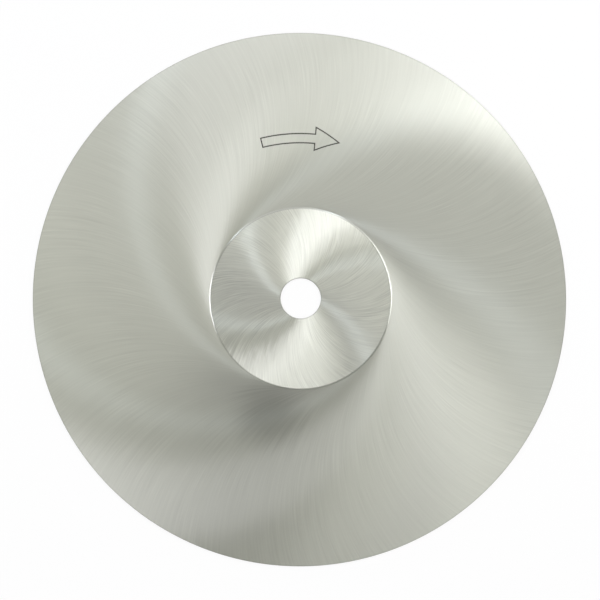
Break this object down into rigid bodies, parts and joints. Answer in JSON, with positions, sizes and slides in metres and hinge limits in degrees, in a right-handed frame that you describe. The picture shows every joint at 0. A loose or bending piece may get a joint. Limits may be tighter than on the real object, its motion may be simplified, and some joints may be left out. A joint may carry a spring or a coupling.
{
  "type": "circular saw blade",
  "caption": "Flat circular saw blade with a plain rim, hollow ground sides, a flat collar seat and a round arbor bore.",
  "frame": {"origin": "on the arbor bore's axis at half the blade's thickness", "axes": "+Z along the bore's axis, out of the face that is shown; X and Y in the blade's mid-plane"},
  "size_m": [0.4249, 0.425, 0.003],
  "materials": {
    "ground_steel": "bright steel with curved grinding marks, finer on the collar seat"
  },
  "bodies": {
    "root": {"saw_blade": "ground_steel"}
  },
  "joints": []
}
